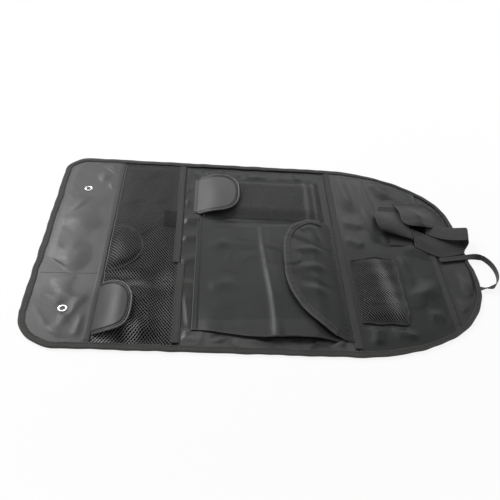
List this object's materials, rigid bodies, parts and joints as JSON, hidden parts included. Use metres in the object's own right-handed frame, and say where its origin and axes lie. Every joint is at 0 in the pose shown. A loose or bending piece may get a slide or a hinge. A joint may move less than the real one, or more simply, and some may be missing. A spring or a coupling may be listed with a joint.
{
  "type": "car seat side organizer",
  "caption": "Long soft panel with a square end and a rounded nose, carrying mesh pockets, a flapped document pocket, eyelets, straps and a hanging loop.",
  "frame": {"origin": "middle of the rest plane, under the centre of the bounding box", "axes": "+X along the panel towards its rounded nose, +Y towards the far long side, +Z out of the pocketed face"},
  "size_m": [0.6645, 0.402, 0.0231],
  "materials": {
    "nylon": "coated black woven nylon with a soft sheen",
    "binding": "matt black ribbed tape",
    "mesh": "black knitted mesh",
    "piping": "black covered cord",
    "webbing": "matt black webbing",
    "steel": "bright nickel plate"
  },
  "bodies": {
    "root": {"base_panel": "nylon", "top_panel": "nylon", "nose_panel": "nylon", "document_pocket": "nylon", "document_flap": "nylon", "bottle_flap": "nylon", "tucked_flap": "nylon", "glasses_flap": "nylon", "cover_tab": "nylon", "edge_binding": "binding", "document_flap_binding": "binding", "divider_tape_1_far": "binding", "divider_tape_1_near": "binding", "divider_tape_2": "binding", "bottle_mesh": "mesh", "glasses_pocket": "mesh", "nose_mesh_pocket": "mesh", "nose_mesh_elastic": "piping", "bottle_flap_piping": "piping", "tucked_flap_piping": "piping", "glasses_flap_piping": "piping", "hook_strap": "webbing", "loop_strap": "webbing", "hang_loop": "webbing", "eyelet_far": "steel", "eyelet_near": "steel", "eyelet_washer_far": "steel", "eyelet_washer_near": "steel"}
  },
  "joints": []
}
